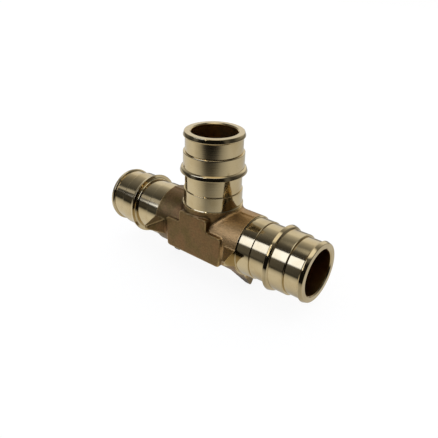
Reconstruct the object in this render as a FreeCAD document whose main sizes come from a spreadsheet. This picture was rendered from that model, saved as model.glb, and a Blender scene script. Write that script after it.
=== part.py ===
import FreeCAD, Part
import os

import Sketcher
from FreeCAD import Vector

# A one-piece brass expansion tee. It is forged round the crossing of its two pipes,
# turned on its three spigots and bored through.
# The run lies along X and the branch rises along Z, with their axes crossing at the
# origin. The forging's flat pad faces the front, along -Y.

NODE = "tee_body"

SIZES = (
    ("bore_diameter", 19.8, "waterway, bored through the run"),
    ("branch_bore_inset", 0.05, "run's bored radius over the branch's"),
    ("bore_chamfer", 0.3, "broken edge of the waterway at each mouth"),
    ("barrel_wall", 2.45, "waterway to the thinnest turned length"),
    ("lip_wall", 3.25, "waterway to the lip at the mouth"),
    ("rib_wall", 3.25, "waterway to the rib that grips the pipe"),
    ("ring_wall", 4.6, "waterway to the ring, the widest turned length"),
    ("neck_wall", 2.5, "waterway to the neck behind the ring"),
    ("land_wall", 2.95, "waterway to the land that ends at the forging"),
    ("core_wall", 3.65, "waterway to the forged run"),
    ("branch_inset", 0.25, "forged run's radius over the forged branch's"),
    ("lead_length", 1.1, "mouth to the full width of the lip"),
    ("lead_drop", 0.55, "lip down to the rim of the mouth's face"),
    ("lip_length", 1.2, "full width of the lip up to its sharp back"),
    ("barrel_length", 6.3, "back of the lip to the step of the rib"),
    ("rib_length", 6.7, "step of the rib to the foot of the ramp"),
    ("ramp_length", 0.8, "ramp from the rib up to the ring"),
    ("ring_length", 1.2, "top of the ramp to the sharp back of the ring"),
    ("neck_length", 7.9, "back of the ring to the fine step of the land"),
    ("land_length", 6.7, "fine step to the turned shoulder"),
    ("lead_edge", 0.3, "broken edges of the lip's lead"),
    ("turned_edge", 0.12, "broken edge of a turned step"),
    ("run_shoulder", 23.1, "crossing of the axes to either shoulder of the run"),
    ("branch_shoulder_rise", 0.5, "top of the forged run to the branch's shoulder"),
    ("core_fillet", 2.2, "forged fillet in the crease of run and branch"),
    ("facing_stock", 1.5, "forging that is turned off above the branch's shoulder"),
    ("flash_rise", 0.25, "trimmed flash above the forged cylinders"),
    ("flash_width", 0.9, "trimmed flash across the parting plane"),
    ("flash_gap", 0.4, "edge of the crease's fillet to the flash on top of the run"),
    ("pad_rise", 0.25, "forged cylinders to the flat face of the pad"),
    ("pad_bottom", 8.5, "axis of the run down to the pad's lower edge"),
    ("pad_step", 5.7, "axis of the run up to the arms of the T"),
    ("pad_top", 11.4, "axis of the run up to the top of the stem"),
    ("pad_gap", 0.9, "root of a front lug to the nearest arm of the T"),
    ("pad_foot_inset", 0.5, "end of an arm over the end of the lower edge"),
    ("pad_stem_half", 7.8, "half of the width of the stem of the T"),
    ("pad_corner", 1.2, "rounding of the pad's corners"),
    ("pad_edge", 0.2, "broken edge round the pad's face"),
    ("stop_root_depth", 1.6, "depth of a lug's root section in the forging"),
    ("side_stop_rise", 6.5, "forged run to the crest of a front or back lug"),
    ("side_stop_root_length", 6.5, "root of a front or back lug along the run"),
    ("side_stop_root_width", 8.5, "root of a front or back lug across the run"),
    ("side_stop_root_sag", 0.65, "axis of the run down to the middle of a front or back lug's root"),
    ("side_stop_crest_length", 1.3, "crest of a front or back lug along the run"),
    ("side_stop_crest_width", 1.7, "crest of a front or back lug across the run"),
    ("keel_stop_rise", 6.75, "forged run to the crest of a lower lug"),
    ("keel_stop_root_length", 9.7, "root of a lower lug along the run"),
    ("keel_stop_root_width", 12.0, "root of a lower lug across the run"),
    ("keel_stop_crest_length", 2.6, "crest of a lower lug along the run"),
    ("keel_stop_crest_width", 0.9, "crest of a lower lug across the run"),
    ("stop_edge", 0.25, "rounding of a lug's forged edges"),
)

TOUCH = 1e-4    # places nearer than this are the same, in mm
ROUND_TESTS = 5    # places tested along an edge that should be a circle

doc = FreeCAD.newDocument("expansion_tee")
dim = doc.addObject("Spreadsheet::Sheet", "dim")
for row, (alias, value, note) in enumerate(SIZES, start=1):
    dim.set(f"A{row}", alias)
    dim.set(f"B{row}", str(value))
    dim.set(f"C{row}", note)
    dim.setAlias(f"B{row}", alias)
doc.recompute()

body = doc.addObject("PartDesign::Body", "Body")
body.Label = NODE
planes = {feature.Role: feature for feature in body.Origin.OriginFeatures}


def radius(wall):
    """Expression for the outer radius over one of the walls."""
    return f"(dim.bore_diameter / 2 + dim.{wall})"


CORE = radius("core_wall")
BRANCH_BORE = "(dim.bore_diameter - 2 * dim.branch_bore_inset)"
BRANCH_CORE = f"({CORE} - dim.branch_inset)"
BRANCH_SHOULDER = f"({CORE} + dim.branch_shoulder_rise)"
PAD_FACE = f"({CORE} + dim.pad_rise)"
PAD_ARM = "(dim.run_shoulder - dim.side_stop_root_length - dim.pad_gap)"
PAD_FOOT = f"({PAD_ARM} - dim.pad_foot_inset)"
STOP_ROOT = f"({CORE} - dim.stop_root_depth)"
LOW_RELIEF = f"({CORE} + max(dim.pad_rise; dim.flash_rise))"


def number(expression):
    """Value of an expression of the driving dimensions."""
    return float(dim.evalExpression(expression))


# Sketches

def new_sketch(name, plane, offset="0"):
    """Sketch on an origin plane of the body, moved along the plane's normal."""
    sketch = body.newObject("Sketcher::SketchObject", name)
    sketch.AttachmentSupport = [(planes[plane], "")]
    sketch.MapMode = "FlatFace"
    sketch.setExpression("AttachmentOffset.Base.z", offset)
    return sketch


def draw_outline(sketch, points):
    """Closed outline whose corners stay at the places that the expressions give."""
    corners = [Vector(number(across), number(up), 0) for across, up in points]
    following = list(range(1, len(points))) + [0]
    for corner, after in zip(corners, following):
        sketch.addGeometry(Part.LineSegment(corner, corners[after]), False)
    for index, after in enumerate(following):
        sketch.addConstraint(Sketcher.Constraint("Coincident", index, 2, after, 1))
    for index, (corner, (across, up)) in enumerate(zip(corners, points)):
        hold_corner(sketch, index, "DistanceX", corner.x, across)
        hold_corner(sketch, index, "DistanceY", corner.y, up)


def hold_corner(sketch, index, direction, value, expression):
    """Ties one coordinate of a corner to its expression."""
    constraint = sketch.addConstraint(Sketcher.Constraint(direction, index, 1, value))
    sketch.setExpression(f"Constraints[{constraint}]", expression)


def draw_circle(sketch, diameter):
    """Circle round the sketch's origin."""
    value = number(diameter)
    sketch.addGeometry(Part.Circle(Vector(0, 0, 0), Vector(0, 0, 1), value / 2), False)
    sketch.addConstraint(Sketcher.Constraint("Coincident", 0, 3, -1, 1))
    constraint = sketch.addConstraint(Sketcher.Constraint("Diameter", 0, value))
    sketch.setExpression(f"Constraints[{constraint}]", diameter)


# Features. Their faces stay as made, because merging them breaks the crease's fillet.

def new_feature(kind, name):
    """Feature of the body that leaves its faces as made."""
    feature = body.newObject(kind, name)
    feature.Refine = False
    return feature


def extrude(kind, name, sketch, length, midplane=False, reverse=False):
    """Pad or pocket of a sketch by a length that an expression gives."""
    feature = new_feature(kind, name)
    feature.Profile = sketch
    feature.Midplane = midplane
    feature.Reversed = reverse
    feature.setExpression("Length", length)
    return feature


def mirror(name, originals):
    """The same features again at the left end of the run."""
    doc.recompute()
    feature = new_feature("PartDesign::Mirrored", name)
    feature.Originals = originals
    feature.MirrorPlane = (planes["YZ_Plane"], [""])
    body.Tip = feature


def picked_edges(chosen):
    """The body so far, with the names of its edges that a test picks out."""
    doc.recompute()
    edges = enumerate(body.Tip.Shape.Edges, start=1)
    return body.Tip, [f"Edge{place}" for place, edge in edges if not edge.Degenerated and chosen(edge)]


def fillet(name, chosen, size):
    """Fillet of the edges that a test picks out."""
    base = picked_edges(chosen)
    feature = new_feature("PartDesign::Fillet", name)
    feature.Base = base
    feature.setExpression("Radius", size)


def chamfer(name, chosen, size):
    """Chamfer of the edges that a test picks out."""
    base = picked_edges(chosen)
    feature = new_feature("PartDesign::Chamfer", name)
    feature.Base = base
    feature.setExpression("Size", size)


def report(stage):
    """Prints the volume of the body so far."""
    doc.recompute()
    print(f"{stage}: {body.Tip.Shape.Volume:.1f} mm3")


# Forging

def forged_cylinders():
    """The two forged cylinders and the fillet in their crease."""
    run = new_sketch("run_core_section", "YZ_Plane")
    draw_circle(run, f"2 * {CORE}")
    extrude("PartDesign::Pad", "run_core", run, "2 * dim.run_shoulder", midplane=True)
    branch = new_sketch("branch_core_section", "XY_Plane")
    draw_circle(branch, f"2 * {BRANCH_CORE}")
    extrude("PartDesign::Pad", "branch_core", branch,
            f"{BRANCH_SHOULDER} + dim.core_fillet + dim.facing_stock")
    fillet("crease", in_crease, "dim.core_fillet")


def in_crease(edge):
    """True on the curves where the two forged cylinders meet."""
    return edge.Curve.TypeId not in ("Part::GeomCircle", "Part::GeomLine")


def flash_line():
    """Trimmed flash, a low ridge along the run in the parting plane of the forging."""
    reach = f"({CORE} + dim.flash_rise)"
    start = f"({BRANCH_CORE} + dim.core_fillet + dim.flash_gap)"
    outline = new_sketch("flash_outline", "XZ_Plane")
    draw_outline(outline, [
        ("-dim.run_shoulder", f"-{reach}"), ("dim.run_shoulder", f"-{reach}"),
        ("dim.run_shoulder", reach), (start, reach), (start, "0"),
        (f"-{start}", "0"), (f"-{start}", reach), ("-dim.run_shoulder", reach)])
    extrude("PartDesign::Pad", "flash", outline, "dim.flash_width", midplane=True)


def flat_pad():
    """T-shaped flat pad on the front of the forging."""
    outline = new_sketch("pad_outline", "XZ_Plane", PAD_FACE)
    draw_outline(outline, [
        (f"-{PAD_FOOT}", "-dim.pad_bottom"), (PAD_FOOT, "-dim.pad_bottom"),
        (PAD_ARM, "dim.pad_step"), ("dim.pad_stem_half", "dim.pad_step"),
        ("dim.pad_stem_half", "dim.pad_top"), ("-dim.pad_stem_half", "dim.pad_top"),
        ("-dim.pad_stem_half", "dim.pad_step"), (f"-{PAD_ARM}", "dim.pad_step")])
    extrude("PartDesign::Pad", "pad", outline, PAD_FACE, reverse=True)
    fillet("pad_corners", at_pad_corner, "dim.pad_corner")
    chamfer("pad_face_edge", round_pad_face, "dim.pad_edge")


def ends_on_pad_face(edge):
    """For each end of an edge, whether it lies on the pad's face."""
    return [abs(vertex.Point.y + number(PAD_FACE)) < TOUCH for vertex in edge.Vertexes]


def at_pad_corner(edge):
    """True on the straight corner edges that run back from the pad's face."""
    return sorted(ends_on_pad_face(edge)) == [False, True]


def round_pad_face(edge):
    """True on the outline of the pad's face."""
    return all(ends_on_pad_face(edge))


def stop_lug(name, kind, turn, root_middle="0"):
    """Tapered stop lug at the right end, turned about the run, with its root's middle moved across."""
    lug = new_feature("PartDesign::AdditiveWedge", name)
    lug.AttachmentSupport = [(planes["XY_Plane"], "")]
    lug.MapMode = "FlatFace"
    lug.AttachmentOffset = FreeCAD.Placement(Vector(), FreeCAD.Rotation(Vector(1, 0, 0), turn))
    lug.setExpression("Ymin", STOP_ROOT)
    lug.setExpression("Ymax", f"{CORE} + dim.{kind}_stop_rise")
    for section, along, across, middle in (("root", "X", "Z", root_middle), ("crest", "X2", "Z2", "0")):
        lug.setExpression(f"{along}min", f"dim.run_shoulder - dim.{kind}_stop_{section}_length")
        lug.setExpression(f"{along}max", "dim.run_shoulder")
        lug.setExpression(f"{across}min", f"{middle} - dim.{kind}_stop_{section}_width / 2")
        lug.setExpression(f"{across}max", f"{middle} + dim.{kind}_stop_{section}_width / 2")
    return lug


def stop_lugs():
    """Lugs that stop the pipe, at the front, back and underside of both ends."""
    mirror("left_stops", [
        stop_lug("front_stop", "side", 180, "dim.side_stop_root_sag"),
        stop_lug("back_stop", "side", 0, "-dim.side_stop_root_sag"),
        stop_lug("keel_stop", "keel", -90)])
    fillet("stop_edges", on_lug, "dim.stop_edge")


def on_lug(edge):
    """True on a lug's free forged edges, but not round its turned stop face."""
    point = edge.valueAt((edge.FirstParameter + edge.LastParameter) / 2)
    stands_out = max(abs(point.y), -point.z) > number(LOW_RELIEF) + TOUCH
    return stands_out and abs(point.x) < number("dim.run_shoulder") - TOUCH


# Turning and boring

SPIGOT_STEPS = (
    ("land", "land_length"), ("neck", "neck_length"), ("ring", "ring_length"),
    ("ramp", "ramp_length"), ("rib", "rib_length"), ("barrel", "barrel_length"),
    ("lip", "lip_length"), ("lead", "lead_length"))
LEAD_RIM = f"({radius('lip_wall')} - dim.lead_drop)"


def spigot_ends(shoulder):
    """Distance from the crossing to the outer end of each turned length."""
    ends = {"shoulder": shoulder}
    place = shoulder
    for step, length in SPIGOT_STEPS:
        place = f"({place} + dim.{length})"
        ends[step] = place
    return ends


def spigot_corners(shoulder):
    """Turned outline of a spigot, from its shoulder to its mouth."""
    end = spigot_ends(shoulder)
    return [
        (end["shoulder"], "0"), (end["shoulder"], radius("land_wall")),
        (end["land"], radius("land_wall")), (end["land"], radius("neck_wall")),
        (end["neck"], radius("neck_wall")), (end["neck"], radius("ring_wall")),
        (end["ring"], radius("ring_wall")), (end["ramp"], radius("rib_wall")),
        (end["rib"], radius("rib_wall")), (end["rib"], radius("barrel_wall")),
        (end["barrel"], radius("barrel_wall")), (end["barrel"], radius("lip_wall")),
        (end["lip"], radius("lip_wall")), (end["lead"], LEAD_RIM), (end["lead"], "0")]


def turn(name, points, axis):
    """Solid turned from an outline in the front plane."""
    outline = new_sketch(f"{name}_outline", "XZ_Plane")
    draw_outline(outline, points)
    turned = new_feature("PartDesign::Revolution", name)
    turned.Profile = outline
    turned.ReferenceAxis = (outline, [axis])
    turned.Angle = 360
    return turned


def spigots():
    """The branch faced off at its shoulder, and the three turned spigots."""
    stock = new_sketch("branch_facing_section", "XY_Plane", BRANCH_SHOULDER)
    draw_circle(stock, f"2 * ({CORE} + dim.core_fillet + dim.facing_stock)")
    extrude("PartDesign::Pocket", "branch_facing", stock,
            "dim.core_fillet + 2 * dim.facing_stock", reverse=True)
    mirror("left_spigot", [turn("right_spigot", spigot_corners("dim.run_shoulder"), "H_Axis")])
    branch = [(across, along) for along, across in spigot_corners(BRANCH_SHOULDER)]
    turn("branch_spigot", branch, "V_Axis")
    chamfer("lead_edges", on_lead, "dim.lead_edge")
    chamfer("turned_edges", on_turned_step, "dim.turned_edge")


def on_circle(edge, axis, distance, reach):
    """True if an edge lies at a distance along an axis from the crossing and a radius round it."""
    return all(abs(abs(point.dot(axis)) - distance) < TOUCH
               and abs(point.cross(axis).Length - reach) < TOUCH
               for point in edge.discretize(ROUND_TESTS))


def on_any_spigot(edge, places):
    """True on an edge at one of the places, given as (turned length, radius)."""
    for axis, shoulder in ((Vector(1, 0, 0), "dim.run_shoulder"), (Vector(0, 0, 1), BRANCH_SHOULDER)):
        end = spigot_ends(shoulder)
        for step, reach in places:
            if on_circle(edge, axis, number(end[step]), number(reach)):
                return True
    return False


def on_lead(edge):
    """True on the two edges of the lip's lead."""
    return on_any_spigot(edge, [("lead", LEAD_RIM), ("lip", radius("lip_wall"))])


def on_turned_step(edge):
    """True on the outer edges of the turned steps."""
    return on_any_spigot(edge, [
        ("neck", radius("ring_wall")), ("ring", radius("ring_wall")),
        ("rib", radius("rib_wall")), ("barrel", radius("lip_wall"))])


def waterways():
    """Bores of the run and the branch, which meet at the crossing."""
    run_mouth = spigot_ends("dim.run_shoulder")["lead"]
    branch_mouth = spigot_ends(BRANCH_SHOULDER)["lead"]
    run = new_sketch("run_bore_section", "YZ_Plane")
    draw_circle(run, "dim.bore_diameter")
    extrude("PartDesign::Pocket", "run_bore", run, f"2 * {run_mouth}", midplane=True)
    branch = new_sketch("branch_bore_section", "XY_Plane")
    draw_circle(branch, BRANCH_BORE)
    extrude("PartDesign::Pocket", "branch_bore", branch, branch_mouth, reverse=True)
    chamfer("mouths", at_mouth, "dim.bore_chamfer")


def at_mouth(edge):
    """True on the edge of the waterway at each mouth."""
    return on_any_spigot(edge, [("lead", "dim.bore_diameter / 2"), ("lead", f"{BRANCH_BORE} / 2")])


def check_model():
    """Stops if a feature failed or the body isn't one valid solid."""
    failed = [item.Name for item in doc.Objects if {"Invalid", "Error"} & set(item.State)]
    if failed:
        raise RuntimeError(f"features that failed: {failed}")
    if body.Shape.isNull() or not body.Shape.isValid() or len(body.Shape.Solids) != 1:
        raise RuntimeError("the body isn't one valid solid")


forged_cylinders()
report("forged cylinders")
flash_line()
report("flash")
flat_pad()
report("pad")
stop_lugs()
report("stop lugs")
spigots()
report("spigots")
waterways()
report("waterways")
check_model()
os.makedirs("parts", exist_ok=True)
body.Shape.exportStep(f"parts/{NODE}.step")
print(f"box {body.Shape.BoundBox}")
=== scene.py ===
import math

import bmesh
import bpy
from mathutils import Matrix, Vector


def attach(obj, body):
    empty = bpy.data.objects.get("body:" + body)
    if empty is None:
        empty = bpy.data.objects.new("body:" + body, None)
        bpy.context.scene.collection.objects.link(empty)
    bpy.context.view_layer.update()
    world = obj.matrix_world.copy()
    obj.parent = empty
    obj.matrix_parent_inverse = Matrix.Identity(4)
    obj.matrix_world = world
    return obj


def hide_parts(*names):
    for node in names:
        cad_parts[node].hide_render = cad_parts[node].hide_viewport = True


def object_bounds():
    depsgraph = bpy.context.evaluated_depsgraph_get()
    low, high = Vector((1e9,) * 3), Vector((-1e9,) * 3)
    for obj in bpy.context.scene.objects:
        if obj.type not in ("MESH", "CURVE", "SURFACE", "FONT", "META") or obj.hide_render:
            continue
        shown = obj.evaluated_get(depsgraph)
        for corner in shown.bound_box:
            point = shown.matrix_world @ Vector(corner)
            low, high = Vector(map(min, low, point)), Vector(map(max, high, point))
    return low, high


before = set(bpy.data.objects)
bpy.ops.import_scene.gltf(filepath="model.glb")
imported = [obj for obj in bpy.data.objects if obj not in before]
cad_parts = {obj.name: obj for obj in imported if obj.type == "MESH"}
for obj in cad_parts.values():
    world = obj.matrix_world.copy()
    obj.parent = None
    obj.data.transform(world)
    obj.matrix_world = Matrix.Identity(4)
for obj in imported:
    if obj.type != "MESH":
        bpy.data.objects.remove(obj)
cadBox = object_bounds()
print("frame loaded")

mm = 0.001
samePlace = 0.001 * mm           # points nearer than this are one

photo = {
    "width": 438,                # px, the photograph is square
    "focalLength": 500.7,        # px
    "originAt": (212.3, 227.7),  # px, where the crossing of the axes shows
    "originDepth": 227.7 * mm,   # from the camera to the crossing, along the view
    "azimuth": 38.8,             # degrees round from the front, towards the right spigot
    "elevation": 27.9,           # degrees above the run
    "roll": -1.8,                # degrees, the camera leans a little to one side
    "sensor": 36.0,              # mm
    "nearest": 10.0,             # mm, what is nearer to the camera doesn't show
}


def makeCamera():
    azimuth, elevation, roll = (math.radians(photo[angle])
                                for angle in ("azimuth", "elevation", "roll"))
    back = Vector((math.sin(azimuth) * math.cos(elevation),
                   -math.cos(azimuth) * math.cos(elevation), math.sin(elevation)))
    level = (-back).cross(Vector((0, 0, 1))).normalized()
    down = (-back).cross(level)
    right = math.cos(roll) * level + math.sin(roll) * down
    up = math.sin(roll) * level - math.cos(roll) * down
    turn = Matrix((right, up, back)).transposed()
    middle = photo["width"] / 2
    across = (photo["originAt"][0] - middle) / photo["focalLength"] * photo["originDepth"]
    below = (photo["originAt"][1] - middle) / photo["focalLength"] * photo["originDepth"]
    place = -(turn @ Vector((across, -below, -photo["originDepth"])))
    data = bpy.data.cameras.new("camera")
    data.sensor_width = photo["sensor"]
    data.lens = photo["sensor"] * photo["focalLength"] / photo["width"]
    data.clip_start = photo["nearest"] * mm
    camera = bpy.data.objects.new("camera", data)
    camera.matrix_world = Matrix.Translation(place) @ turn.to_4x4()
    bpy.context.collection.objects.link(camera)
    bpy.context.scene.camera = camera


makeCamera()
print("camera made")


def linear(hexColour):
    channels = [int(hexColour[i:i + 2], 16) / 255 for i in (1, 3, 5)]
    # The curve of the sRGB standard, which is straight near black
    return tuple(c / 12.92 if c <= 0.04045 else ((c + 0.055) / 1.055) ** 2.4
                 for c in channels) + (1,)


def addNode(tree, kind, inputs=None, **settings):
    node = tree.nodes.new(kind)
    for name, value in settings.items():
        setattr(node, name, value)
    for name, value in (inputs or {}).items():
        if isinstance(value, bpy.types.NodeSocket):
            tree.links.new(value, node.inputs[name])
        else:
            node.inputs[name].default_value = value
    return node


def newSolid(name, bm):
    bmesh.ops.remove_doubles(bm, verts=bm.verts, dist=samePlace)
    bmesh.ops.recalc_face_normals(bm, faces=bm.faces)
    mesh = bpy.data.meshes.new(name)
    bm.to_mesh(mesh)
    bm.free()
    solid = bpy.data.objects.new(name, mesh)
    bpy.context.collection.objects.link(solid)
    return solid


def applyModifiers(solid):
    shaped = solid.evaluated_get(bpy.context.evaluated_depsgraph_get())
    mesh = bpy.data.meshes.new_from_object(shaped)
    solid.modifiers.clear()
    solid.data = mesh


def cutWith(solid, tool, operation):
    cut = solid.modifiers.new("cut", "BOOLEAN")
    cut.object = tool
    cut.operation = operation
    cut.solver = "MANIFOLD"
    applyModifiers(solid)
    bpy.data.objects.remove(tool)


def towards(degrees):
    # From straight up, where a shape is spun, towards the right spigot
    return Matrix.Rotation(math.radians(degrees), 4, "Y")


def spun(outline, sides, turn=Matrix()):
    bm = bmesh.new()
    corners = [bm.verts.new((reach * mm, 0, along * mm)) for along, reach in outline]
    edges = [bm.edges.new(pair) for pair in zip(corners, corners[1:])]
    bmesh.ops.spin(bm, geom=corners + edges, cent=(0, 0, 0), axis=(0, 0, 1), dvec=(0, 0, 0),
                   angle=2 * math.pi, steps=sides, use_merge=True, use_duplicate=False)
    bmesh.ops.remove_doubles(bm, verts=bm.verts, dist=samePlace)
    bmesh.ops.transform(bm, matrix=turn, verts=bm.verts)
    return bm


forging = {
    "end": 23.1,                 # mm, from the crossing to the faced ends of the run
    "top": 14.05,                # mm, from the crossing to the faced top of the branch
    "bottom": -20.3,             # mm, the keel lugs' crests
    "halfDepth": 20.04,          # mm, the side lugs' crests
    "plug": 11.0,                # mm, radius that fills the waterways until they are bored again
    "plugSides": 48,
    "plugBeyond": 5.0,           # mm, the plugs past the faced ends
    "spare": 1.5,                # mm, stock beyond a faced end while the skin is made
    "voxel": 0.34,               # mm, the detail that the forging dies leave
    "blend": 3,                  # times that the skin is smoothed
    "blendShare": 0.5,           # how far each time
    "skinGrain": 0.9,            # mm, across a dimple of the skin
    "skinDetail": 2,             # times that dimples lie within dimples
    "skinDepth": 0.035,          # mm, from a dimple to the crest beside it
}


def makePlug(low, high, turn=Matrix()):
    outline = [(low, 0), (low, forging["plug"]), (high, forging["plug"]), (high, 0)]
    return newSolid("plug", spun(outline, forging["plugSides"], turn))


def makeBlock():
    bm = bmesh.new()
    height = forging["top"] - forging["bottom"]
    size = Matrix.Diagonal((2 * forging["end"] * mm, 2 * forging["halfDepth"] * mm,
                            height * mm, 1))
    place = Matrix.Translation((0, 0, (forging["top"] - height / 2) * mm))
    bmesh.ops.create_cube(bm, size=1, matrix=place @ size)
    return newSolid("block", bm)


def addStock(solid):
    bm = bmesh.new()
    bm.from_mesh(solid.data)
    for axis, place, sign in ((0, forging["end"], 1), (0, forging["end"], -1),
                              (2, forging["top"], 1)):
        ends = [face for face in bm.faces
                if all(abs(v.co[axis] - sign * place * mm) < samePlace for v in face.verts)]
        grown = bmesh.ops.extrude_face_region(bm, geom=ends)["geom"]
        moved = [item for item in grown if isinstance(item, bmesh.types.BMVert)]
        shift = Vector((0, 0, 0))
        shift[axis] = sign * forging["spare"] * mm
        bmesh.ops.translate(bm, vec=shift, verts=moved)
        bmesh.ops.delete(bm, geom=ends, context="FACES_ONLY")
    bm.to_mesh(solid.data)
    bm.free()


def makeForging():
    bm = bmesh.new()
    bm.from_mesh(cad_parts["tee_body"].data)
    body = newSolid("tee", bm)
    reach = forging["end"] + forging["plugBeyond"]
    cutWith(body, makePlug(-reach, reach, towards(90)), "UNION")
    cutWith(body, makePlug(0, forging["top"] + forging["plugBeyond"]), "UNION")
    cutWith(body, makeBlock(), "INTERSECT")
    addStock(body)
    remesh = body.modifiers.new("skin", "REMESH")
    remesh.mode = "VOXEL"
    remesh.voxel_size = forging["voxel"] * mm
    soften = body.modifiers.new("soften", "SMOOTH")
    soften.factor = forging["blendShare"]
    soften.iterations = forging["blend"]
    dimples = bpy.data.textures.new("dimples", "CLOUDS")
    dimples.noise_scale = forging["skinGrain"] * mm
    dimples.noise_depth = forging["skinDetail"]
    press = body.modifiers.new("dimples", "DISPLACE")
    press.texture = dimples
    press.texture_coords = "LOCAL"
    press.strength = forging["skinDepth"] * mm
    applyModifiers(body)
    cutWith(body, makeBlock(), "INTERSECT")
    return body


spigot = {
    "sides": 128,
    "inside": 3.0,               # mm, hidden in the forging
    # mm out from the shoulder, and radius: land, neck, ring, rib, barrel, lip and lead. A second
    # point just before a band's edge keeps the shading of the band flat
    "outline": ((-0.02, 13.12), (0.28, 12.85), (6.3, 12.85), (6.7, 12.85),
                (6.7, 12.4), (13.5, 12.4), (14.6, 12.4),
                (14.6, 13.5), (14.6, 14.1), (14.6, 14.5), (16.2, 14.0),
                (16.6, 13.15), (22.7, 13.15), (23.3, 13.15),
                (23.3, 12.35), (29.6, 12.35),
                (29.75, 12.75), (30.2, 13.15), (31.9, 12.6), (31.9, 12.3)),
    # corners of the outline that the lathe tool rounds, with the width of each rounding in mm
    "rounded": (((6.7, 12.85), 0.22), ((14.6, 12.4), 0.8), ((14.6, 14.5), 0.2),
                ((16.2, 14.0), 0.25), ((23.3, 13.15), 0.35), ((30.2, 13.15), 0.2),
                ((31.9, 12.6), 0.22)),
    "roundSteps": 5,
    "findWithin": 0.01,          # mm, how near to its place a corner is looked for
    # degrees from the branch towards the right spigot, and the shoulder's place in mm
    "shoulders": ((90, forging["end"]), (-90, forging["end"]), (0, forging["top"])),
}


def onCircle(edge, along, reach):
    near = spigot["findWithin"] * mm
    return all(abs(v.co.z - along * mm) < near and abs(v.co.xy.length - reach * mm) < near
               for v in edge.verts)


def makeSpigot(degrees, shoulder):
    ends = [(shoulder + along, reach) for along, reach in spigot["outline"]]
    foot = shoulder - spigot["inside"]
    bm = spun([(foot, 0), (foot, ends[0][1])] + ends + [(ends[-1][0], 0)], spigot["sides"])
    for (along, reach), width in spigot["rounded"]:
        edges = [edge for edge in bm.edges if onCircle(edge, shoulder + along, reach)]
        bmesh.ops.bevel(bm, geom=edges, offset=width * mm, offset_type="OFFSET", affect="EDGES",
                        segments=spigot["roundSteps"], profile=0.5, material=-1)
    bmesh.ops.transform(bm, matrix=towards(degrees), verts=bm.verts)
    return newSolid("spigot", bm)


waterway = {
    "sides": 128,
    # mm, radius and mouth, then degrees from the branch, and whether it opens at both ends
    "bores": ((9.9, 55.0, 90, True), (9.85, 45.95, 0, False)),
    "chamfer": 0.5,              # mm
    "beyond": 0.2,               # mm, the cutter past the mouth
    "twist": 1.0,                # degrees, so that no corner of a cutter meets one of a spigot
}


def makeBorer(radius, mouth, degrees, both):
    flare = waterway["beyond"] + waterway["chamfer"]
    end = mouth + waterway["beyond"]
    start = [(-end, 0), (-end, radius + flare), (-end + flare, radius)]
    outline = (start if both else [(0, 0), (0, radius)]) + [
        (end - flare, radius), (end, radius + flare), (end, 0)]
    twist = Matrix.Rotation(math.radians(waterway["twist"]), 4, "Z")
    return newSolid("borer", spun(outline, waterway["sides"], towards(degrees) @ twist))


surface = {
    "sliver": 0.003,             # mm, an edge shorter than this is closed up
    "smallFace": 1e-6,           # square mm, faces smaller than this are counted
    "sharp": 32.0,               # degrees, an edge that turns more stays crisp
}


def finishSurface(solid):
    bm = bmesh.new()
    bm.from_mesh(solid.data)
    sliver = surface["sliver"] * mm
    bmesh.ops.triangulate(bm, faces=[face for face in bm.faces if len(face.verts) > 4])
    bmesh.ops.remove_doubles(bm, verts=bm.verts, dist=sliver)
    bmesh.ops.dissolve_degenerate(bm, edges=bm.edges, dist=sliver)
    for face in bm.faces:
        face.smooth = True
    for edge in bm.edges:
        edge.smooth = edge.is_manifold and edge.calc_face_angle() < math.radians(surface["sharp"])
    smallFace = surface["smallFace"] * mm ** 2
    print("surface finished, open edges", sum(not edge.is_manifold for edge in bm.edges),
          "small faces", sum(face.calc_area() < smallFace for face in bm.faces))
    bm.to_mesh(solid.data)
    bm.free()


# Brass that is hot forged, then turned and bored. The forging keeps a brown, mottled skin, with a
# painted highlight on its edges and one side and painted shade in its creases and at the keel
# lugs' tips, the lathe leaves mirror bands with fine grooves, the drill a dull bore
brass = {
    "forged": "#7E6440",         # skin of the forging
    "forgedOlive": "#756039",
    "forgedRed": "#856541",
    "forgedHighlight": "#B5905D",     # painted highlight on the right arm's upper side
    "forgedEdgeGlint": "#D8B87E",     # painted highlight on edges that stand out
    "turned": "#CEBB92",         # straight from the lathe
    "turnedDull": "#BFA97C",     # where handling has dulled it
    "bored": "#C4A066",          # left dull by the drill
    "forgedRoughness": 0.4,
    "turnedRoughness": 0.10,
    "boredRoughness": 0.3,
    "patches": (0.36, 0.5, 0.66),    # where on the mottle the skin is olive, plain and reddish
    # mm across a mark of each pattern, then the noise's detail and roughness
    "mottle": (6.0, 3.0, 0.6),       # patches of the skin's colour
    "grain": (0.7, 4.0, 0.65),       # grains of the skin
    "dulling": (25 / 3, 4.0, 0.5),   # patches dulled in handling
    "grainDepth": 0.09,          # mm
    "groove": 0.3,               # mm, from one turning groove to the next, coarser than real
    "grooveDetail": 2.0,
    "grooveDepth": 0.004,        # mm
    # the span over which each of these changes, then its amounts at the two ends
    "sideHighlight": ((4.0, 13.0), (0, 1)),          # mm along the run, towards the side with the painted highlight
    "high": ((-4.0, 4.0), (0.35, 1)),       # mm up, the painted highlight is strongest above the axis
    "crease": ((0.45, 0.49), (0.35, 1)),    # pointiness, painted shade in corners that turn in
    "edgeGlint": ((0.51, 0.56), (0, 1)),       # pointiness, painted highlight on edges that stand out
    "speckle": ((0.3, 0.7), (0.78, 1.2)),   # of the grain, its dark and light grains
    "trimmed": ((-16.5, -13.8), (0.3, 1)),  # mm up, painted shade, darkest at the keel lugs' tips by the floor
    "dull": ((0.45, 0.75), (0, 1)),         # of the dulling
    "padFace": -13.6,            # mm, the pad stands in front of this
    "keelTop": -13.8,            # mm, the keel lugs' ends below this are left as forged
    "bore": 9.96,                # mm, just over the radius of the bores
    "edge": 0.02,                # mm, how near to a shoulder its turned face counts
}


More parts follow.
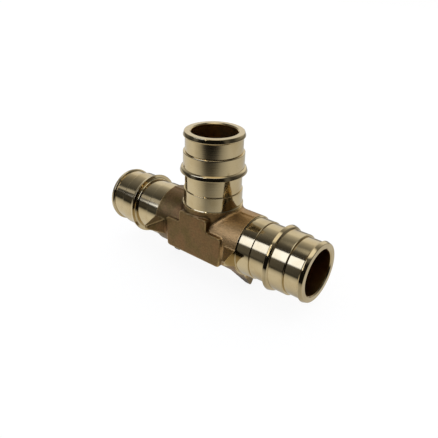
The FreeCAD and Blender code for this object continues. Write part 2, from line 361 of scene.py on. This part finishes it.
def makeBrass():
    material = bpy.data.materials.new("forged and turned brass")
    material.use_nodes = True
    tree = material.node_tree
    shader = tree.nodes["Principled BSDF"]
    shader.inputs["Metallic"].default_value = 1
    place = addNode(tree, "ShaderNodeTexCoord").outputs["Object"]
    inMm = addNode(tree, "ShaderNodeVectorMath", {0: place, 1: (1 / mm,) * 3},
                   operation="MULTIPLY").outputs[0]
    x, y, z = addNode(tree, "ShaderNodeSeparateXYZ", {0: inMm}).outputs
    along = addNode(tree, "ShaderNodeMath", {0: x}, operation="ABSOLUTE").outputs[0]
    radii = []
    for across in ((0, 1, 1), (1, 1, 0)):    # square to the run, then to the branch
        flat = addNode(tree, "ShaderNodeVectorMath", {0: inMm, 1: across},
                       operation="MULTIPLY").outputs[0]
        radii.append(addNode(tree, "ShaderNodeVectorMath", {0: flat},
                             operation="LENGTH").outputs["Value"])
    runRadius, branchRadius = radii

    # Where each finish lies, as ones and noughts
    where = {}
    for name, value, operation, limit in (
            ("onRun", along, "GREATER_THAN", forging["end"] - brass["edge"]),
            ("byShoulder", along, "LESS_THAN", forging["end"] + brass["edge"]),
            ("onBranch", z, "GREATER_THAN", forging["top"] - brass["edge"]),
            ("onKeel", z, "LESS_THAN", brass["keelTop"]),
            ("offPad", y, "GREATER_THAN", brass["padFace"]),
            ("inRun", runRadius, "LESS_THAN", brass["bore"]),
            ("inBranch", branchRadius, "LESS_THAN", brass["bore"]),
            ("upBranch", z, "GREATER_THAN", 0)):
        where[name] = addNode(tree, "ShaderNodeMath", {0: value, 1: limit},
                              operation=operation).outputs[0]
    turned = addNode(tree, "ShaderNodeMath", {0: where["onRun"], 1: where["onBranch"]},
                     operation="MAXIMUM").outputs[0]
    keelEnd = addNode(tree, "ShaderNodeMath", {0: where["onKeel"], 1: where["byShoulder"]},
                      operation="MULTIPLY").outputs[0]
    turned = addNode(tree, "ShaderNodeMath", {0: turned, 1: keelEnd},
                     operation="SUBTRACT", use_clamp=True).outputs[0]
    branchBore = addNode(tree, "ShaderNodeMath", {0: where["inBranch"], 1: where["upBranch"]},
                         operation="MULTIPLY").outputs[0]
    bored = addNode(tree, "ShaderNodeMath", {0: where["inRun"], 1: branchBore},
                    operation="MAXIMUM").outputs[0]

    noise = {}
    for name in ("mottle", "grain", "dulling"):
        size, detail, roughness = brass[name]
        noise[name] = addNode(tree, "ShaderNodeTexNoise", {
            "Vector": inMm, "Scale": 1 / size, "Detail": detail,
            "Roughness": roughness}).outputs["Fac"]
    bend = addNode(tree, "ShaderNodeNewGeometry").outputs["Pointiness"]
    share = {}
    for name, value in (("sideHighlight", x), ("high", z), ("crease", bend), ("edgeGlint", bend),
                        ("speckle", noise["grain"]), ("trimmed", z), ("dull", noise["dulling"])):
        (start, end), (first, last) = brass[name]
        share[name] = addNode(tree, "ShaderNodeMapRange", {
            "Value": value, "From Min": start, "From Max": end,
            "To Min": first, "To Max": last}).outputs["Result"]

    # The forging's skin, in patches, with a painted highlight on one side and on its edges, and
    # painted shade in its creases and at the keel lugs' tips
    patches = addNode(tree, "ShaderNodeValToRGB", {"Fac": noise["mottle"]})
    stops = patches.color_ramp.elements
    stops.new(brass["patches"][1])
    for stop, position, tone in zip(stops, brass["patches"],
                                    ("forgedOlive", "forged", "forgedRed")):
        stop.position = position
        stop.color = linear(brass[tone])
    # Painted highlight on the right arm's side, strongest above the axis and kept off the pad
    highlightShare = share["sideHighlight"]
    for factor in (where["offPad"], share["high"]):
        highlightShare = addNode(tree, "ShaderNodeMath", {0: highlightShare, 1: factor},
                       operation="MULTIPLY").outputs[0]
    # A Mix node takes numbers at 2 and 3, vectors at 4 and 5 and colours at 6 and 7, and
    # gives them out at 0, 1 and 2
    skin = addNode(tree, "ShaderNodeMix", {
        "Factor": highlightShare, 6: patches.outputs["Color"], 7: linear(brass["forgedHighlight"])},
        data_type="RGBA").outputs[2]
    # Painted shade in corners that turn in
    skin = addNode(tree, "ShaderNodeVectorMath", {0: skin, 1: share["crease"]},
                   operation="MULTIPLY").outputs[0]
    # Painted highlight on edges that stand out
    skin = addNode(tree, "ShaderNodeMix", {
        "Factor": share["edgeGlint"], 6: skin, 7: linear(brass["forgedEdgeGlint"])},
        data_type="RGBA").outputs[2]
    # The grain's light and dark specks, then painted shade towards the keel lugs' tips
    for factor in (share["speckle"], share["trimmed"]):
        skin = addNode(tree, "ShaderNodeVectorMath", {0: skin, 1: factor},
                       operation="MULTIPLY").outputs[0]

    # The turned faces, whose grooves follow each other along the run's axis or the branch's
    feed = addNode(tree, "ShaderNodeMix", {"Factor": where["onRun"], 2: z, 3: x},
                   data_type="FLOAT").outputs[0]
    grooves = addNode(tree, "ShaderNodeTexNoise", {
        "W": feed, "Scale": 1 / brass["groove"], "Detail": brass["grooveDetail"]},
        noise_dimensions="1D").outputs["Fac"]
    bright = addNode(tree, "ShaderNodeMix", {
        "Factor": share["dull"], 6: linear(brass["turned"]), 7: linear(brass["turnedDull"])},
        data_type="RGBA").outputs[2]

    colour = addNode(tree, "ShaderNodeMix", {"Factor": turned, 6: skin, 7: bright},
                     data_type="RGBA").outputs[2]
    colour = addNode(tree, "ShaderNodeMix", {
        "Factor": bored, 6: colour, 7: linear(brass["bored"])}, data_type="RGBA").outputs[2]
    roughness = addNode(tree, "ShaderNodeMix", {
        "Factor": turned, 2: brass["forgedRoughness"], 3: brass["turnedRoughness"]},
        data_type="FLOAT").outputs[0]
    roughness = addNode(tree, "ShaderNodeMix", {
        "Factor": bored, 2: roughness, 3: brass["boredRoughness"]},
        data_type="FLOAT").outputs[0]
    rough, grooved = (
        addNode(tree, "ShaderNodeBump", {"Height": height, "Distance": depth * mm}).outputs[0]
        for height, depth in ((noise["grain"], brass["grainDepth"]),
                              (grooves, brass["grooveDepth"])))
    relief = addNode(tree, "ShaderNodeMix", {"Factor": turned, 4: rough, 5: grooved},
                     data_type="VECTOR").outputs[1]
    tree.links.new(colour, shader.inputs["Base Color"])
    tree.links.new(roughness, shader.inputs["Roughness"])
    tree.links.new(relief, shader.inputs["Normal"])
    return material


tee = makeForging()
print("forging made, faces", len(tee.data.polygons))
for degrees, shoulder in spigot["shoulders"]:
    cutWith(tee, makeSpigot(degrees, shoulder), "UNION")
print("spigots turned, faces", len(tee.data.polygons))
for radius, mouth, degrees, both in waterway["bores"]:
    cutWith(tee, makeBorer(radius, mouth, degrees, both), "DIFFERENCE")
print("waterways bored, faces", len(tee.data.polygons))
finishSurface(tee)
tee.data.materials.clear()
tee.data.materials.append(makeBrass())
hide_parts("tee_body")
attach(tee, "root")
print("brass made, faces", len(tee.data.polygons))

studio = {
    "floorHeight": cadBox[0].z,
    "floorReach": 3.0,           # m
    "paperRoughness": 0.9,
    "paperGlow": 0.88,           # share of the paper that is plain white, for a soft shadow
    "roomAzimuth": 28.0,         # degrees round from the front, to the dark room past the table
    "tableEdge": 24.0,           # degrees below the horizon, where the table ends there
    "sweep": 0.1,                # sine of the angle below the horizon, where it ends elsewhere
    # the span over which each of these changes, then its amounts at the two ends
    "tableSide": ((-1, 1), (0, 1)),         # from the table's right to its left
    "tableFade": ((-0.3, 0.1), (0, 1)),     # from under the part to over the table's edge
    "roomSide": ((1, -1), (0, 1)),          # from the room's side to the backdrop's
    "roomFoot": ((0.06, 0.2), (0.4, 1)),    # up from the table's edge, the room is darkest there
    "roomStart": ((0, 0.08), (0, 1)),       # over the table's edge
    "top": ((0.9, 0.96), (0, 1)),           # sine of the height, up to the light overhead
    # the tones along three of these spans: how far along, and how bright
    "tableTones": ((0, 0.68), (0.45, 0.62), (0.55, 0.56), (0.62, 0.5), (0.7, 0.64),
                   (0.8, 0.8), (1, 0.85)),
    "fadeTones": ((0, 1), (0.25, 0.9), (0.5, 0.72), (0.625, 0.6), (0.75, 0.36),
                  (0.825, 0.2), (0.95, 0.06), (1, 0)),
    "roomTones": ((0, 0.008), (0.15, 0.01), (0.215, 0.12), (0.275, 0.12), (0.35, 0.055),
                  (0.45, 0.055), (0.525, 0.1), (0.61, 0.17), (0.7, 0.24), (0.775, 0.38),
                  (0.845, 0.58), (0.89, 0.9), (0.94, 0.92), (0.985, 0.9), (1, 0.8)),
    "boxAzimuth": 5.0,           # degrees round from the front, to the softbox
    "leastAhead": 0.001,         # what lies behind counts as this far ahead, never as nothing
    # for each panel of light: its ends across, its lower and upper edge, how soft its edges
    # are, and its colour
    "panels": (((-1.19, -0.14), (0.46, 1.65), 0.05, (1.7, 1.95, 2.75)),
               ((-1.75, -1.2), (0.8, 1.65), 0.08, (0.55, 0.56, 0.6)),
               ((-0.04, 0.04), (0.43, 1.75), 0.02, (4.0, 4.0, 4.0))),
    "topStrength": 1.2,          # of the light overhead
}


def makeFloor():
    bpy.ops.mesh.primitive_plane_add(size=studio["floorReach"],
                                     location=(0, 0, studio["floorHeight"]))
    floor = bpy.context.object
    floor.name = "floor"
    # Uncoated paper, which is matt and shows no more than a soft shadow
    material = bpy.data.materials.new("white paper")
    material.use_nodes = True
    shader = material.node_tree.nodes["Principled BSDF"]
    shader.inputs["Roughness"].default_value = studio["paperRoughness"]
    shader.inputs["Base Color"].default_value = (1 - studio["paperGlow"],) * 3 + (1,)
    shader.inputs["Emission Color"].default_value = (1, 1, 1, 1)
    shader.inputs["Emission Strength"].default_value = studio["paperGlow"]
    floor.data.materials.append(material)
    floor.visible_glossy = False


def makeStudio():
    world = bpy.data.worlds.new("studio")
    world.use_nodes = True
    bpy.context.scene.world = world
    tree = world.node_tree
    ray = addNode(tree, "ShaderNodeTexCoord").outputs["Generated"]
    toRoom, toBox = (math.radians(studio[angle]) for angle in ("roomAzimuth", "boxAzimuth"))
    up, room, left, ahead, across = (
        addNode(tree, "ShaderNodeVectorMath", {0: ray, 1: way},
                operation="DOT_PRODUCT").outputs["Value"]
        for way in ((0, 0, 1),
                    (math.sin(toRoom), -math.cos(toRoom), 0),
                    (-math.cos(toRoom), -math.sin(toRoom), 0),
                    (math.sin(toBox), -math.cos(toBox), 0),
                    (math.cos(toBox), math.sin(toBox), 0)))

    # How far a direction is over the table, past its edge or above the sweep
    overEdge = addNode(tree, "ShaderNodeMath", {
        0: room, 1: math.tan(math.radians(studio["tableEdge"])), 2: up},
        operation="MULTIPLY_ADD").outputs[0]
    overSweep = addNode(tree, "ShaderNodeMath", {0: up, 1: studio["sweep"]},
                        operation="ADD").outputs[0]
    overTable = addNode(tree, "ShaderNodeMath", {0: overEdge, 1: overSweep},
                        operation="MAXIMUM").outputs[0]
    share = {}
    for name, value in (("tableSide", left), ("tableFade", overTable), ("roomSide", room),
                        ("roomFoot", overTable), ("roomStart", overTable), ("top", up)):
        (start, end), (first, last) = studio[name]
        share[name] = addNode(tree, "ShaderNodeMapRange", {
            "Value": value, "From Min": start, "From Max": end,
            "To Min": first, "To Max": last}).outputs["Result"]

    # The table darkens towards its edge, and the room grows lighter round to the backdrop
    tones = []
    for name, tonesName in (("tableSide", "tableTones"), ("tableFade", "fadeTones"),
                            ("roomSide", "roomTones")):
        ramp = addNode(tree, "ShaderNodeValToRGB", {"Fac": share[name]})
        stops = ramp.color_ramp.elements
        stops.remove(stops[1])
        for place, tone in studio[tonesName]:
            stop = stops[0] if place == 0 else stops.new(place)
            stop.color = (tone,) * 3 + (1,)
        tones.append(ramp.outputs["Color"])
    tableTone, fadeTone, roomTone = tones
    table = addNode(tree, "ShaderNodeVectorMath", {0: tableTone, 1: fadeTone},
                    operation="MULTIPLY").outputs[0]
    roomTone = addNode(tree, "ShaderNodeVectorMath", {0: roomTone, 1: share["roomFoot"]},
                       operation="MULTIPLY").outputs[0]
    light = addNode(tree, "ShaderNodeMix", {"Factor": share["roomStart"], 6: table, 7: roomTone},
                    data_type="RGBA").outputs[2]

    # The panels lie in one plane in front, a unit away
    ahead = addNode(tree, "ShaderNodeMath", {0: ahead, 1: studio["leastAhead"]},
                    operation="MAXIMUM").outputs[0]
    across, height = (
        addNode(tree, "ShaderNodeMath", {0: value, 1: ahead}, operation="DIVIDE").outputs[0]
        for value in (across, up))
    for width, reach, soft, colour in studio["panels"]:
        masks = [addNode(tree, "ShaderNodeMapRange", {
                     "Value": value, "From Min": place - sign * soft,
                     "From Max": place + sign * soft}).outputs["Result"]
                 for value, ends in ((across, width), (height, reach))
                 for place, sign in zip(ends, (1, -1))]
        inside = masks[0]
        for mask in masks[1:]:
            inside = addNode(tree, "ShaderNodeMath", {0: inside, 1: mask},
                             operation="MULTIPLY").outputs[0]
        light = addNode(tree, "ShaderNodeMix", {"Factor": inside, 6: light, 7: colour + (1,)},
                        data_type="RGBA").outputs[2]
    light = addNode(tree, "ShaderNodeMix", {
        "Factor": share["top"], 6: light, 7: (studio["topStrength"],) * 3 + (1,)},
        data_type="RGBA").outputs[2]

    # The camera sees plain white, and so does the paper
    path = addNode(tree, "ShaderNodeLightPath").outputs
    plain = addNode(tree, "ShaderNodeMath", {
        0: path["Is Camera Ray"], 1: path["Is Diffuse Ray"]}, operation="MAXIMUM").outputs[0]
    light = addNode(tree, "ShaderNodeMix", {"Factor": plain, 6: light, 7: (1, 1, 1, 1)},
                    data_type="RGBA").outputs[2]
    background = tree.nodes["Background"]
    background.inputs["Strength"].default_value = 1
    tree.links.new(light, background.inputs["Color"])


makeFloor()
makeStudio()
print("studio made")

bpy.context.scene.view_settings.view_transform = "Standard"
